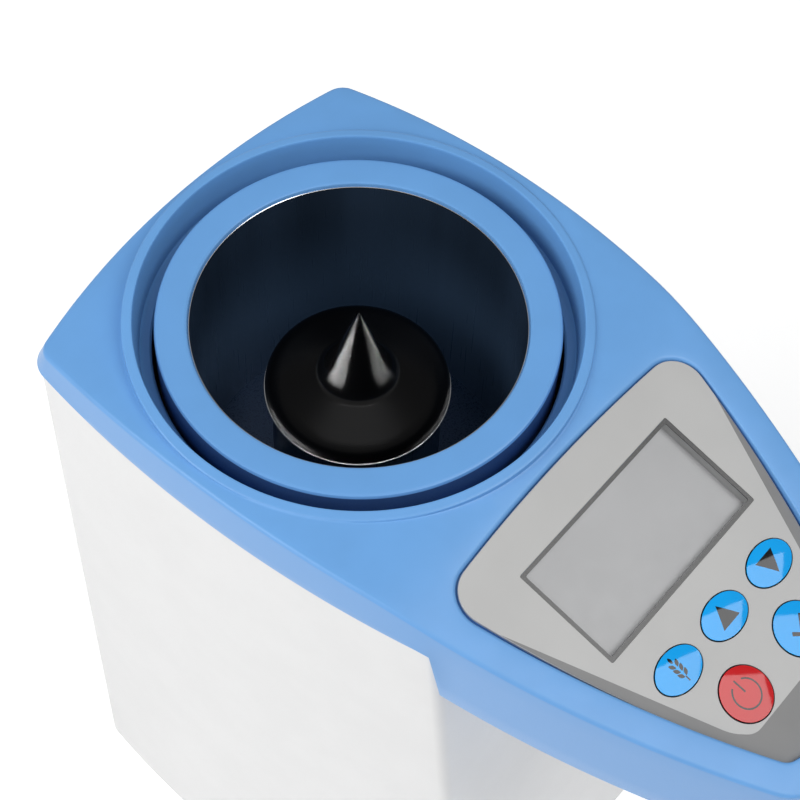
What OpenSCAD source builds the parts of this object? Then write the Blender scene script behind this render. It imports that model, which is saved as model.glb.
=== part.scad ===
// Grain moisture meter: a tall body, a cover with a sloping nose that carries the control panel,
// and a measuring cup that hangs on a load cell.
// The y and z of every dimension below are counted from the cup's axis and from the table.
// The nose points to -Y, and the user faces it.

/* [Overall size] */
// Height of the flat top of the cup's ring above the table
ring_top = 219; // [217:1:221]
// Length of the cover, from its back to the tip of its nose
cover_l = 211; // [210:1:212]
// Width of the cover at the cup
cover_w = 120; // [119.5:0.5:121]
// Distance from the cup's axis to the back of the cover
cup_to_back = 61; // [60.5:0.5:61.5]

/* [Measuring cup] */
// Inner radius of the cup's ring
cup_r = 40; // [39.5:0.5:40]
// Width of the ring's flat top
ring_w = 7.8; // [7:0.2:8]
// Depth of the cup below the ring's top
cup_depth = 70; // [68:1:71]
// Radius of the centre electrode
centre_r = 21; // [20.5:0.5:21]
// Radius of the cone's rim
cap_r = 22.7; // [22.5:0.1:23]
// Depth of the cone's rim below the ring's top
cap_drop = 25; // [24:1:26]
// Height of the cone's tip above the ring's top
tip_rise = 2.6; // [2:0.2:3.4]

/* [Cover] */
// Inner radius of the raised lip round the cup
lip_r = 52.6; // [52.2:0.2:53]
// Height of the lip above the ring's top
lip_rise = 2.6; // [2.4:0.2:3.2]
// Thickness of the moulded walls of the cover
wall = 2.4; // [2.2:0.1:2.5]
// Slope of the nose in degrees
nose_tilt = 14; // [13.8:0.1:14.2]
// Depth of the skirt under the nose, square to its slope
nose_h = 20.4; // [20:0.2:21]

/* [Control panel] */
// Slope of the panel in degrees
panel_tilt = 16; // [15.8:0.1:16.2]
// Distance from the cup's axis to the middle of the display
display_y = 82.5; // [82:0.5:83]
// Depth of the middle of the display below the ring's top
display_drop = 7.3; // [7.2:0.1:7.8]
// Width of the display window
window_w = 54.2; // [54:0.2:55]
// Height of the display window
window_h = 27.6; // [27:0.2:28]
// Travel of a key
key_travel = 0.5; // [0.3:0.1:0.5]

/* [Body] */
// Height of the rubber feet
foot_h = 3; // [3:0.5:3.5]
// Thickness of the body's walls
body_wall = 2.7; // [2.5:0.1:2.8]
// Lean of the front wall in degrees
front_lean = 5; // [4.5:0.5:5.5]

/* [Hidden] */
$fn = 64;
eps = 0.01;

cup_y = cover_l / 2 - cup_to_back;
nose_y = cup_to_back - cover_l;

// Plan outlines: two long side arcs, a back arc and a nose arc, with rounded corners
side_r = 310;
back_r = 200;
nose_r = 60;
back_corner = 7;
nose_corner = 14;
panel_inset = 9.6;
panel_back_y = -58;
panel_back_r = 450;
panel_corner = 8;

// Side view of the cover: an arch over the cup, then the slope of the nose
arch_r = 448;
arch_y = -15.6;
arch_top = ring_top + 1.5;
break_y = -53.4;
break_z = arch_z(break_y);
edge_w = 2.1;
edge_drop = 2.4;
skirt_z = ring_top - 8.8;
skirt_step_y = -66.4;

// Body under the cover
body_inset = 0.8;
base_z = foot_h;
base_t = 3;
floor_z = base_z + base_t;
front_top_y = -67.6;
front_top_z = break_z + (front_top_y - break_y) * tan(nose_tilt) - nose_h / cos(nose_tilt);

// Well and gutter round the cup
well_r = cup_r + ring_w + 1;
lip_w = 2.4;
well_bottom = ring_top - 10.5;
gutter_z = ring_top - 8;

// Cup
ring_t = 4.4;
tube_t = 1.4;
tube_ledge = 0.4;
tube_r = cup_r - tube_ledge;
tube_top = ring_top - ring_t;
cup_floor = ring_top - cup_depth;
cup_base_t = 6;
cup_base_r = 44.5;
cap_rim_z = ring_top - cap_drop;
cap_rim_t = 3.4;
cap_slope = 12;
cone_r = 8;
cone_blend = 2.5;

// Deck, load cell and carrier
deck_z = 100;
deck_t = 3;
cell_w = 12.7;
cell_l = 80;
cell_gap = 2.5;
cell_z = deck_z + deck_t + cell_gap;
cell_top = cell_z + cell_w;
cell_screw_y = [29, 36];
pad_t = 2;
carrier_z = cell_top + pad_t;
carrier_t = 4;
carrier_r = 26;
pillar_xy = 14.2;
sensor_z = carrier_z + 10;
board_t = 1.6;
fit_gap = 0.05;

// Circuit board under the deck
board_w = 80;
board_y = [-50, 20];
board_z = 84;
board_hole_xy = [36, 31];

// Places of posts, lugs, feet and screws
post_places = [[48, 36], [46, -52]];
post_r = 4.5;
lug_places = [[44, 40], [46, -50]];
lug_z = ring_top - 21;
lug_t = 4;
foot_places = [[36, 42], [38, -68]];
foot_r = 6.5;
nose_boss_places = [[42, -80], [-42, -80], [0, -141]];

// Control panel, counted from the panel's face along its own slope
overlay_t = 0.8;
panel_floor_t = 2;
board_n = -7;
flange_n = -3.1;
flange_t = 1.1;
dome_h = 0.4;
nub_n = board_n + dome_h + 0.1 + key_travel;
key_gap = 0.35;
display_boss_places = [[33, 10], [-33, 10], [21, -34], [-21, -34]];

// Keys: name order is grain, up, down, power, confirm
key_places = [[-17.5, -25.6], [0, -25.6], [17.5, -25.6], [-10.5, -40.2], [10.5, -40.2]];
key_sizes = [[6.75, 4.6], [6.75, 4.6], [6.75, 4.6], [6.45, 6.45], [6.45, 6.45]];

// Batteries and their door
battery_r = 7.1;
battery_len = 49.2;
battery_pitch = 14.8;
battery_y = -8;
battery_z = 14.2;
opening_x = 30;
opening_y = [-36, 20];
tray_z = floor_z + 2.2;
tray_top = 22;
tray_wall = 1.6;
hinge_y = 17.9;
hinge_z = base_z + 1.9;
knuckle_r = 1.7;
hinge_pin_r = 1;

// Power inlet in the back wall
jack_z = 30;
jack_r = 4;

// ---- Plane geometry ----

function unit(a) = [cos(a), sin(a)];
function heading(p, q) = atan2(q[1] - p[1], q[0] - p[0]);
function arc_points(c, r, a0, a1, n) = [for (i = [0:n]) c + r * unit(a0 + (a1 - a0) * i / n)];

// Where circles (c0, r0) and (c1, r1) meet, to the left (side = 1) or right (side = -1) of c0 to c1
function meet(c0, r0, c1, r1, side) =
    let (
        d = norm(c1 - c0),
        u = (c1 - c0) / d,
        a = (r0 * r0 - r1 * r1 + d * d) / (2 * d),
        h = sqrt(r0 * r0 - a * a)
    )
    c0 + a * u + side * h * [-u[1], u[0]];

// Right half of a shield shape from the middle of its nose to the middle of its back
function shield_half(half_w, sr, by, br, ny, nr, bc, nc) =
    let (
        cs = [half_w - sr, 0],
        cb = [0, by - br],
        cn = [0, ny + nr],
        kn = meet(cs, sr - nc, cn, nr - nc, -1),
        kb = meet(cs, sr - bc, cb, br - bc, 1)
    )
    concat(
        arc_points(cn, nr, -90, heading(cn, kn), 5),
        arc_points(kn, nc, heading(cn, kn), heading(cs, kn), 5),
        arc_points(cs, sr, heading(cs, kn), heading(cs, kb), 14),
        arc_points(kb, bc, heading(cs, kb), heading(cb, kb), 5),
        arc_points(cb, br, heading(cb, kb), 90, 6)
    );

function thinned(points) = [
    for (i = [0:len(points) - 1])
        if (i == 0 || norm(points[i] - points[i - 1]) > eps) points[i]
];

function mirrored(points) = concat(
    points,
    [for (i = [len(points) - 2:-1:1]) [-points[i][0], points[i][1]]]
);

// Outline of the cover, moved inwards by inset
function cover_outline(inset) = mirrored(thinned(shield_half(
    cover_w / 2 - inset, side_r - inset, cup_to_back - inset, back_r - inset,
    nose_y + inset, nose_r - inset, max(back_corner - inset, 0.6), nose_corner - inset
)));

// Outline of the panel's recess, moved inwards by inset
function panel_outline(inset) = mirrored(thinned(shield_half(
    cover_w / 2 - panel_inset - inset, side_r - panel_inset - inset,
    panel_back_y - inset, panel_back_r - inset,
    nose_y + panel_inset + inset, nose_r - panel_inset - inset,
    panel_corner - inset, nose_corner - panel_inset - inset
)));

function arch_z(y) = arch_top - arch_r + sqrt(arch_r * arch_r - pow(y - arch_y, 2));
function slope_z(y) = break_z + (y - break_y) * tan(nose_tilt);
function panel_z(y) = ring_top - display_drop + (y + display_y) * tan(panel_tilt);
function front_y(z) = front_top_y - (front_top_z - z) * tan(front_lean);

// ---- Placing ----

module at_cup() translate([0, cup_y, 0]) children();

// Origin in the middle of the display, Y up the panel's slope and Z out of the panel
module on_panel() at_cup()
    translate([0, -display_y, ring_top - display_drop]) rotate([panel_tilt, 0, 0]) children();

// Both sides of the middle plane
module both_sides() {
    children();
    mirror([1, 0, 0]) children();
}

module at_pairs(places, z) both_sides() for (p = places) translate([p[0], p[1], z]) children();

// Slab between two heights with the given plan
module plan(points, z0, z1) translate([0, 0, z0]) linear_extrude(height = z1 - z0) polygon(points);

// Bar along X with the given side view, whose points are [y, z]
module side_bar(points, w) rotate([90, 0, 90]) linear_extrude(height = w, center = true) polygon(points);

module tube(r_out, r_in, z0, z1) translate([0, 0, z0]) difference() {
    cylinder(r = r_out, h = z1 - z0);
    translate([0, 0, -1]) cylinder(r = r_in, h = z1 - z0 + 2);
}

module rod(r, z0, z1) translate([0, 0, z0]) cylinder(r = r, h = z1 - z0);

module block(x, y, z) translate([x[0], y[0], z[0]]) cube([x[1] - x[0], y[1] - y[0], z[1] - z[0]]);

// Screw that points up: the head lies below z, the shank above it
module screw(z, r, length, head_r, head_h) {
    difference() {
        rod(head_r, z - head_h, z);
        translate([0, 0, z - head_h - 1]) cylinder(r = head_r * 0.45, h = head_h * 0.5 + 1, $fn = 6);
    }
    rod(r, z - eps, z + length);
}

// ---- Cover ----

// Solid under the cover's top, with a step for its rounded edge, down to the skirt's edges
module cover_block(drop, inset) {
    cover_layer(drop, inset + edge_w);
    cover_layer(drop + edge_drop, inset);
}

module cover_layer(drop, inset) intersection() {
    plan(cover_outline(inset), ring_top - 80, ring_top + 20);
    side_bar(concat(
        [[cup_to_back + 1, skirt_z], [cup_to_back + 1, arch_z(cup_to_back + 1) - drop]],
        [for (i = [0:8]) let (y = cup_to_back - (cup_to_back - break_y) * i / 8) [y, arch_z(y) - drop]],
        [
            [nose_y - 1, slope_z(nose_y - 1) - drop],
            [nose_y - 1, slope_z(nose_y - 1) - nose_h / cos(nose_tilt)],
            [skirt_step_y, slope_z(skirt_step_y) - nose_h / cos(nose_tilt)],
            [skirt_step_y, skirt_z]
        ]
    ), 200);
}

// Hollow of the cover: open below, with a roof under the panel's floor
module cover_hollow() intersection() {
    plan(cover_outline(wall), ring_top - 100, ring_top + 20);
    side_bar(concat(
        [[cup_to_back + 1, ring_top - 90]],
        [
            for (i = [0:8])
                let (y = cup_to_back - (cup_to_back - break_y - 2) * i / 8) [y, arch_z(y) - wall]
        ],
        [
            [break_y, panel_z(break_y) - (overlay_t + panel_floor_t) / cos(panel_tilt)],
            [nose_y - 1, panel_z(nose_y - 1) - (overlay_t + panel_floor_t) / cos(panel_tilt)],
            [nose_y - 1, ring_top - 90]
        ]
    ), 200);
}

module key_shape(i, grow) polygon([
    for (a = [0:7.5:359]) [(key_sizes[i][0] + grow) * cos(a), (key_sizes[i][1] + grow) * sin(a)]
]);

module key_holes(n0, n1) for (i = [0:4])
    translate([key_places[i][0], key_places[i][1], n0])
        linear_extrude(height = n1 - n0) key_shape(i, key_gap);

module panel_slab(n0, n1) on_panel() block([-80, 80], [-120, 60], [n0, n1]);

module top_cover() color("cornflowerblue") difference() {
    union() {
        difference() {
            at_cup() cover_block(0, 0);
            at_cup() cover_hollow();
        }
        at_cup() rod(lip_r + lip_w, well_bottom, ring_top + lip_rise);
        at_cup() at_pairs(lug_places, lug_z + lug_t) rod(3.5, 0, ring_top - 2 - lug_z - lug_t);
        intersection() {
            at_cup() for (p = nose_boss_places)
                translate([p[0], p[1], 0]) rod(3.2, ring_top - 80, ring_top);
            at_cup() cover_block(1, 1);
            on_panel() block([-80, 80], [-120, 60], [-60, -1]);
            on_nose() block([-80, 80], [-120, 60], [-nose_h + 2.6, 0]);
        }
        on_panel() for (p = display_boss_places)
            translate([p[0], p[1], 0]) rod(2.6, board_n, -overlay_t - panel_floor_t / 2);
    }
    at_cup() {
        rod(well_r, well_bottom - 1, ring_top + 20);
        rod(lip_r, gutter_z, ring_top + 20);
        at_pairs(lug_places, lug_z + lug_t - 1) rod(1.25, 0, 12);
        for (p = nose_boss_places) translate([p[0], p[1], 0]) nose_pilot(p);
    }
    intersection() {
        at_cup() plan(panel_outline(0), ring_top - 60, ring_top + 20);
        panel_slab(-overlay_t, 40);
    }
    on_panel() {
        key_holes(-10, 5);
        block([-window_w / 2 + 1.3, window_w / 2 - 1.3], [-window_h / 2 + 1.3, window_h / 2 - 1.3], [-10, 5]);
        for (p = display_boss_places) translate([p[0], p[1], 0]) rod(1, board_n - 1, -2.4);
    }
}

// Origin where the slope of the nose begins, Y up the slope and Z out of it
module on_nose() at_cup() translate([0, break_y, break_z]) rotate([nose_tilt, 0, 0]) children();

module nose_pilot(p) rod(1.25, ring_top - 80, slope_z(p[1]) - nose_h + 13);

module nose_cover() color("cornflowerblue") difference() {
    intersection() {
        at_cup() plan(cover_outline(wall + 0.2), ring_top - 100, ring_top);
        at_cup() block([-80, 80], [nose_y, front_top_y - 0.6], [ring_top - 100, ring_top]);
        on_nose() block([-80, 80], [-120, 60], [-nose_h + 0.5, -nose_h + 2.5]);
    }
    at_cup() for (p = nose_boss_places) translate([p[0], p[1], 0]) rod(1.7, ring_top - 80, ring_top);
}

// ---- Body ----

module body_block(inset, front_back, z0, z1) intersection() {
    plan(cover_outline(inset), z0, z1);
    side_bar([
        [cup_to_back + 1, z0 - 1], [cup_to_back + 1, z1 + 1],
        [front_y(z1 + 1) + front_back, z1 + 1], [front_y(z0 - 1) + front_back, z0 - 1]
    ], 200);
}

module main_housing() color("white") at_cup() difference() {
    union() {
        difference() {
            body_block(body_inset, 0, base_z, skirt_z);
            body_block(body_inset + body_wall, body_wall, base_z - 1, skirt_z + 1);
        }
        intersection() {
            body_block(body_inset + 1, 1, base_z, skirt_z);
            union() {
                at_pairs(post_places, 0) rod(post_r, floor_z, deck_z);
                at_pairs(post_places, 0) block([0, 12], [-1.5, 1.5], [floor_z, deck_z]);
                at_pairs(lug_places, 0) rod(5.5, lug_z, lug_z + lug_t);
                at_pairs(lug_places, 0) block([0, 12], [-5.5, 5.5], [lug_z, lug_z + lug_t]);
            }
        }
    }
    // Room for the nose's deep skirt, and the way into the nose
    block([-80, 80], [-100, skirt_step_y + 0.3], [front_top_z, ring_top]);
    block([-48, 48], [-100, break_y], [front_top_z, ring_top]);
    at_pairs(post_places, 0) rod(1.5, floor_z - 1, floor_z + 14);
    at_pairs(post_places, 0) rod(1.5, deck_z - 12, deck_z + 1);
    at_pairs(lug_places, 0) rod(1.7, lug_z - 1, lug_z + lug_t + 1);
    translate([0, cup_to_back - 8, jack_z]) rotate([-90, 0, 0]) rod(jack_r + 0.2, 0, 20);
}

module base_plate() color("whitesmoke") at_cup() difference() {
    union() {
        body_block(body_inset + body_wall + 0.3, body_wall + 0.3, base_z, floor_z);
        block(
            [-opening_x - 4, opening_x + 4], [opening_y[0] - 4, opening_y[1] + 4], [floor_z - 1, tray_z]
        );
    }
    block([-opening_x, opening_x], opening_y, [base_z - 1, tray_z + 1]);
    translate([-opening_x - 3.4, hinge_y, hinge_z]) rotate([0, 90, 0])
        rod(hinge_pin_r + 0.08, 0, 2 * opening_x + 6.8);
    // Finger notch at the door's free edge
    translate([0, opening_y[0], base_z - 1]) cylinder(r = 6, h = base_t);
    at_pairs(post_places, 0) rod(1.7, base_z - 1, floor_z + 1);
    at_pairs(post_places, 0) rod(3.2, base_z - 1, base_z + 1.8);
    at_pairs(foot_places, 0) rod(foot_r + 0.1, base_z - 1, base_z + 0.5);
}

module rubber_feet() color("dimgray") at_cup() at_pairs(foot_places, 0) {
    rod(foot_r - 0.6, 0, 1);
    rod(foot_r, 0.8, base_z + 0.5);
}

// ---- Measuring cup ----

module cup_ring() color("cornflowerblue") at_cup() {
    tube(cup_r + ring_w, cup_r, tube_top, ring_top);
    tube(cup_r + ring_w, cup_r + ring_w - 2.2, ring_top - 14, tube_top + 1);
    tube(tube_r + tube_t + 2.2, tube_r + tube_t + fit_gap, ring_top - 12, tube_top + 1);
}

// Its thin upper edge lines the ring's hole
module outer_electrode() color("lightsteelblue") at_cup() {
    tube(tube_r + tube_t, tube_r, cup_floor, tube_top);
    tube(cup_r - 0.05, tube_r, tube_top - eps, ring_top - 1);
}

module cup_base() color("dimgray") at_cup() difference() {
    union() {
        rod(cup_base_r, cup_floor - cup_base_t, cup_floor);
        tube(cup_base_r, tube_r + tube_t + fit_gap, cup_floor - 1, cup_floor + 5);
        rod(centre_r - 1.6 - fit_gap, cup_floor - 1, cup_floor + 4);
    }
    rod(2.7, cup_floor - 10, cup_floor + 10);
    probe_place() rod(2.55, cup_floor - 10, cup_floor + 10);
    both_sides() for (s = [-1, 1])
        translate([pillar_xy, s * pillar_xy, 0]) rod(1.5, cup_floor - 10, cup_floor - 2);
}

module centre_electrode() color("silver") at_cup()
    tube(centre_r, centre_r - 1.6, cup_floor, cap_rim_z - cap_rim_t);

// Right half of the cap's section: rim, shallow slope, a hollow blend and the steep cone
module cap_section() {
    shoulder = cap_rim_z + (cap_r - cone_r - cone_blend) * tan(cap_slope);
    tip = ring_top + tip_rise;
    start = [cone_r + cone_blend, shoulder];
    knee = [cone_r, shoulder + cone_blend * tan(cap_slope)];
    end = knee + (([0.15, tip] - knee) * 0.25);
    blend = [
        for (i = [0:8]) let (t = i / 8)
            pow(1 - t, 2) * start + 2 * t * (1 - t) * knee + pow(t, 2) * end
    ];
    polygon(concat(
        [[0, cap_rim_z - cap_rim_t], [cap_r, cap_rim_z - cap_rim_t], [cap_r, cap_rim_z]],
        blend,
        [[0.15, tip], [0, tip]]
    ));
}

module electrode_cap() color("black") at_cup() difference() {
    union() {
        rotate_extrude() cap_section();
        rod(centre_r - 1.6 - fit_gap, cap_rim_z - cap_rim_t - 6, cap_rim_z - cap_rim_t + eps);
    }
    rod(2.55, cap_rim_z - cap_rim_t - 7, cap_rim_z - 1);
}

module centre_bolt() color("silver") at_cup()
    screw(cup_floor - cup_base_t, 2.5, cap_rim_z - cup_floor + cup_base_t - 3, 4.5, 3);

module probe_place() rotate([0, 0, 135]) translate([31, 0, 0]) children();

module temperature_probe() color("silver") at_cup() probe_place() {
    rod(2.5, cup_floor - cup_base_t - 1, cup_floor + 8);
    rod(1.8, cup_floor + 8 - eps, cup_floor + 10);
}

module sensor_board() color("green") at_cup() difference() {
    rod(28, sensor_z, sensor_z + board_t);
    both_sides() for (s = [-1, 1]) translate([pillar_xy, s * pillar_xy, 0])
        rod(4 + fit_gap, sensor_z - 1, sensor_z + 3);
}

module cup_carrier() color("darkgray") at_cup() difference() {
    union() {
        rod(carrier_r, carrier_z, carrier_z + carrier_t);
        block([-8, 8], [0, 40], [carrier_z, carrier_z + carrier_t]);
        block([-cell_w / 2, cell_w / 2], [25, 40], [cell_top, carrier_z + 1]);
        both_sides() for (s = [-1, 1]) translate([pillar_xy, s * pillar_xy, 0]) {
            rod(5, carrier_z + 1, sensor_z);
            rod(4, sensor_z - 1, cup_floor - cup_base_t);
        }
    }
    both_sides() for (s = [-1, 1]) translate([pillar_xy, s * pillar_xy, 0])
        rod(1.7, carrier_z - 1, cup_floor);
    for (y = cell_screw_y) translate([0, y, 0]) rod(2.1, cell_top - 1, sensor_z);
}

module cup_screws() color("silver") at_cup() both_sides() for (s = [-1, 1])
    translate([pillar_xy, s * pillar_xy, 0]) screw(carrier_z, 1.45, cup_floor - 3 - carrier_z, 2.75, 1.6);

module carrier_screws() color("silver") at_cup() for (y = cell_screw_y)
    translate([0, y, carrier_z + carrier_t]) mirror([0, 0, 1]) screw(0, 2, 15, 3.2, 2.5);

// ---- Load cell and deck ----

module load_cell() color("silver") at_cup() difference() {
    block([-cell_w / 2, cell_w / 2], [-cell_l / 2, cell_l / 2], [cell_z, cell_top]);
    for (y = [-10, 10]) translate([-10, y, cell_z + cell_w / 2]) rotate([0, 90, 0]) rod(4.6, 0, 20);
    block([-10, 10], [-10, 10], [cell_z + cell_w / 2 - 2.5, cell_z + cell_w / 2 + 2.5]);
    for (y = cell_screw_y) {
        translate([0, y, 0]) rod(2.05, cell_z - 1, cell_top + 1);
        translate([0, -y, 0]) rod(2.05, cell_z - 1, cell_top + 1);
    }
}

module load_cell_spacer() color("gray") at_cup() difference() {
    block([-cell_w / 2, cell_w / 2], [-cell_l / 2, -25], [deck_z + deck_t, cell_z]);
    for (y = cell_screw_y) translate([0, -y, 0]) rod(2.1, deck_z, cell_z + 1);
}

module load_cell_screws() color("silver") at_cup() for (y = cell_screw_y)
    translate([0, -y, 0]) screw(deck_z, 2, 15, 3.2, 2.5);

module chassis_plate() color("lightgray") at_cup() difference() {
    intersection() {
        plan(cover_outline(body_inset + body_wall + 0.4), deck_z, deck_z + deck_t);
        block([-80, 80], [-61, 52], [deck_z - 1, deck_z + deck_t + 1]);
    }
    at_pairs(post_places, 0) rod(1.7, deck_z - 1, deck_z + deck_t + 1);
    for (y = cell_screw_y) translate([0, -y, 0]) rod(2.1, deck_z - 1, deck_z + deck_t + 1);
    at_pillars() rod(1.55, deck_z - 1, deck_z + deck_t + 1);
}

module chassis_screws() color("silver") at_cup() at_pairs(post_places, deck_z + deck_t)
    mirror([0, 0, 1]) screw(0, 1.45, 12, 2.75, 1.6);

// ---- Circuit board under the deck ----

module at_pillars() translate([0, (board_y[0] + board_y[1]) / 2, 0])
    both_sides() for (s = [-1, 1]) translate([board_hole_xy[0], s * board_hole_xy[1], 0]) children();

module main_board() color("green") at_cup() difference() {
    block([-board_w / 2, board_w / 2], board_y, [board_z, board_z + board_t]);
    at_pillars() rod(1.7, board_z - 1, board_z + 3);
}

module board_pillars() color("gold") at_cup() at_pillars() difference() {
    union() {
        translate([0, 0, board_z + board_t]) cylinder(r = 3.2, h = deck_z - board_z - board_t, $fn = 6);
        rod(1.5, deck_z - 1, deck_z + deck_t);
    }
    rod(1.5, board_z, board_z + 9);
}

module board_screws() color("silver") at_cup() at_pillars() screw(board_z, 1.45, 8, 2.75, 1.6);

module board_chips() color("black") at_cup() {
    top = board_z + board_t;
    block([-10, 4], [-24, -10], [top, top + 2]);
    block([12, 20], [-22, -10], [top, top + 1.8]);
    block([-28, -20], [-20, -14], [top, top + 1.8]);
    block([-8, 0], [0, 10], [top, top + 1.8]);
}

module board_capacitors() color("navy") at_cup() for (p = [[-26, 2], [-18, 8], [14, -34]])
    translate([p[0], p[1], 0]) rod(3.2, board_z + board_t, board_z + board_t + 9);

module board_connectors() color("ivory") at_cup() for (x = [-26, 0, 24]) {
    half = x == 0 ? 11 : 5;
    translate([x, 0, 0]) difference() {
        block([-half, half], [-49, -43], [board_z + board_t, board_z + board_t + 7]);
        block([-half + 1, half - 1], [-48, -44], [board_z + board_t + 2, board_z + board_t + 8]);
    }
}

module buzzer() color("black") at_cup() translate([26, 4, 0]) difference() {
    rod(6, board_z + board_t, board_z + board_t + 8.5);
    rod(1.2, board_z + board_t + 5, board_z + board_t + 9);
}

// Flat cable from the display board, down the inside of the front wall, to the main board
ribbon_path = [[-72, 203.2], [-62, 202], [-61, 188], [-66, 120], [-66, 100], [-60, 94], [-46, 94]];
ribbon_w = 20;
ribbon_t = 0.8;

// Left normal of segment i of a path
function normal(path, i) =
    let (d = (path[i + 1] - path[i]) / norm(path[i + 1] - path[i])) [-d[1], d[0]];

// Path moved sideways by s, with mitred corners
function beside(path, s) = [
    for (i = [0:len(path) - 1])
        let (
            n = normal(path, max(i - 1, 0)),
            m = normal(path, min(i, len(path) - 2))
        )
        path[i] + s * (n + m) / (1 + n * m)
];

function backwards(points) = [for (i = [len(points) - 1:-1:0]) points[i]];

module ribbon_cable() color("lightgray") at_cup() side_bar(
    concat(beside(ribbon_path, ribbon_t / 2), backwards(beside(ribbon_path, -ribbon_t / 2))), ribbon_w
);

// ---- Control panel ----

module panel_overlay() color("silver") difference() {
    intersection() {
        at_cup() plan(panel_outline(0.25), ring_top - 60, ring_top + 20);
        panel_slab(-overlay_t, 0);
    }
    on_panel() {
        key_holes(-5, 5);
        block([-window_w / 2 - 0.1, window_w / 2 + 0.1], [-window_h / 2 - 0.1, window_h / 2 + 0.1], [-5, 5]);
    }
}

module display_window() color([0.6, 0.63, 0.62, 0.6]) on_panel()
    block([-window_w / 2, window_w / 2], [-window_h / 2, window_h / 2], [-overlay_t, 0]);

module lcd_glass() color("darkgray") on_panel() block([-28, 28], [-15.5, 15.5], [-5.3, -2.9]);

module backlight() color("white") on_panel() block([-27.5, 27.5], [-15, 15], [board_n, -5.4]);

module display_board() color("green") on_panel() difference() {
    translate([0, 0, board_n - board_t]) linear_extrude(height = board_t)
        polygon([[-37, 18], [37, 18], [37, -8], [24, -48], [-24, -48], [-37, -8]]);
    for (p = display_boss_places) translate([p[0], p[1], 0]) rod(1.3, board_n - 3, board_n + 1);
}

module display_board_screws() color("silver") on_panel() for (p = display_boss_places)
    translate([p[0], p[1], 0]) screw(board_n - board_t, 0.95, 5.5, 2.2, 1.3);

module key_domes() color("gold") on_panel() for (p = key_places)
    translate([p[0], p[1], 0]) rod(3, board_n, board_n + dome_h);

module key(i) on_panel() translate([key_places[i][0], key_places[i][1], 0]) {
    translate([0, 0, flange_n - flange_t]) linear_extrude(height = flange_t) key_shape(i, 1);
    translate([0, 0, flange_n - eps]) linear_extrude(height = 0.35 - flange_n) key_shape(i, 0);
    translate([0, 0, 0.3]) linear_extrude(height = 0.35) key_shape(i, -0.8);
    rod(2, nub_n, flange_n - flange_t + eps);
}

module key_grain() color("deepskyblue") key(0);
module key_up() color("deepskyblue") key(1);
module key_down() color("deepskyblue") key(2);
module key_power() color("crimson") key(3);
module key_confirm() color("deepskyblue") key(4);

// ---- Batteries ----

module battery_row() for (i = [0:3])
    translate([(i - 1.5) * battery_pitch, battery_y, battery_z]) rotate([i % 2 == 0 ? 90 : -90, 0, 0]) children();

module battery_tray() color("dimgray") at_cup() difference() {
    block([-opening_x - 2, opening_x + 2], [opening_y[0] - 2, opening_y[1] + 2], [tray_z, tray_top + tray_wall]);
    block(
        [-opening_x - 2 + tray_wall, opening_x + 2 - tray_wall],
        [opening_y[0] - 2 + tray_wall, opening_y[1] + 2 - tray_wall], [tray_z - 1, tray_top]
    );
}

module batteries() color("darkslategray") at_cup() battery_row() {
    rod(battery_r, -battery_len / 2, battery_len / 2);
    rod(2.7, battery_len / 2 - eps, battery_len / 2 + 1.3);
}

module battery_springs() color("silver") at_cup() battery_row() translate([0, 0, -battery_len / 2])
    rotate_extrude() polygon([[3, -0.1], [3.7, -0.1], [5, -3.4], [4.3, -3.4]]);

module battery_contacts() color("silver") at_cup() battery_row()
    block([-4.5, 4.5], [-5, 5], [battery_len / 2 + 1.4, battery_len / 2 + 1.9]);

module battery_door() color("whitesmoke") at_cup() difference() {
    union() {
        block([-opening_x + 0.4, opening_x - 0.4], [opening_y[0] + 0.4, hinge_y], [base_z + 0.2, base_z + 2.2]);
        translate([-opening_x + 0.4, hinge_y, hinge_z]) rotate([0, 90, 0])
            rod(knuckle_r, 0, 2 * opening_x - 0.8);
        translate([-opening_x - 3, hinge_y, hinge_z]) rotate([0, 90, 0])
            rod(hinge_pin_r, 0, 2 * opening_x + 6);
    }
    // Grip grooves
    for (i = [0:4]) block([-12, 12], [-33 + i * 2.5, -31.8 + i * 2.5], [base_z, base_z + 0.8]);
}

// ---- Power inlet ----

module on_jack() at_cup() translate([0, cup_to_back - body_inset, jack_z]) rotate([-90, 0, 0]) children();

module dc_jack() color("black") on_jack() difference() {
    union() {
        rod(jack_r, -4, -0.1);
        block([-5, 5], [-5.5, 5.5], [-14, -body_wall - 0.4]);
    }
    rod(2.8, -10, 1);
}

module dc_pin() color("silver") on_jack() rod(1, -10, -1.2);

// ---- Fasteners ----

module cover_screws() color("silver") at_cup() at_pairs(lug_places, 0) screw(lug_z, 1.2, 14, 2.75, 1.6);

module base_screws() color("silver") at_cup() at_pairs(post_places, 0)
    screw(base_z + 1.8, 1.45, 13, 2.75, 1.6);

module nose_screws() color("silver") at_cup() for (p = nose_boss_places)
    translate([p[0], p[1], slope_z(p[1]) - nose_h / cos(nose_tilt) - 0.2]) screw(0, 1.2, 10, 2.5, 1.4);

top_cover();
main_housing();
nose_cover();
base_plate();
rubber_feet();
cup_ring();
outer_electrode();
cup_base();
centre_electrode();
electrode_cap();
centre_bolt();
temperature_probe();
sensor_board();
cup_carrier();
cup_screws();
carrier_screws();
load_cell();
load_cell_spacer();
load_cell_screws();
chassis_plate();
chassis_screws();
main_board();
board_pillars();
board_screws();
board_chips();
board_capacitors();
board_connectors();
buzzer();
panel_overlay();
display_window();
lcd_glass();
backlight();
display_board();
display_board_screws();
key_domes();
ribbon_cable();
key_grain();
key_up();
key_down();
key_power();
key_confirm();
battery_tray();
batteries();
battery_springs();
battery_contacts();
battery_door();
dc_jack();
dc_pin();
cover_screws();
base_screws();
nose_screws();
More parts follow.
